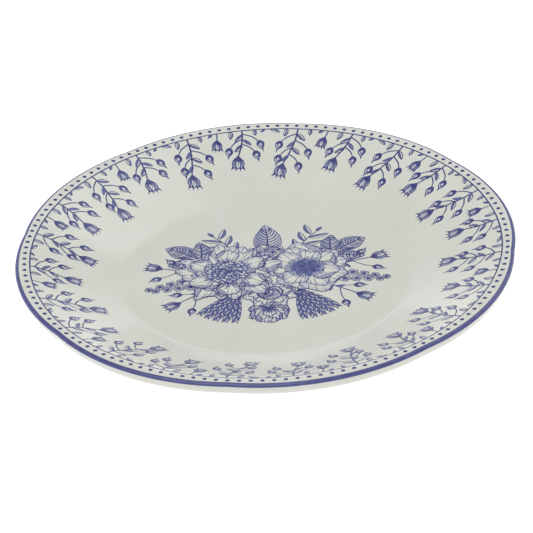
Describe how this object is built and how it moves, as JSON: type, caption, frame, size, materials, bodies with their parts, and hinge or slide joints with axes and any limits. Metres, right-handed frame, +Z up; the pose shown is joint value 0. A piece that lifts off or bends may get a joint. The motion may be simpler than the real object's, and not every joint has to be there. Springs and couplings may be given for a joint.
{
  "type": "dinner plate",
  "caption": "Round china dinner plate with a scalloped rolled lip, sloping rim, flat well and foot ring, with a blue printed border of hanging sprays and a bouquet across the well",
  "frame": {"origin": "centre of the plate on the plane the foot ring stands on", "axes": "+Z up along the plate's axis, +X to the viewer's right, -Y towards the viewer"},
  "size_m": [0.2652, 0.2652, 0.0286],
  "materials": {
    "white_glaze": "clear gloss glaze over white porcelain",
    "band_blue": "soft cobalt blue, fired on, satin gloss",
    "print_blue": "fine cobalt blue line print under the glaze"
  },
  "bodies": {
    "root": {"porcelain_body": "white_glaze", "edge_band": "band_blue", "inner_line_a": "print_blue", "inner_line_b": "print_blue", "dot_row_a": "print_blue", "dot_row_b": "print_blue", "spray_transfer_a": "print_blue", "spray_transfer_b": "print_blue", "centre_transfer": "print_blue"}
  },
  "joints": []
}
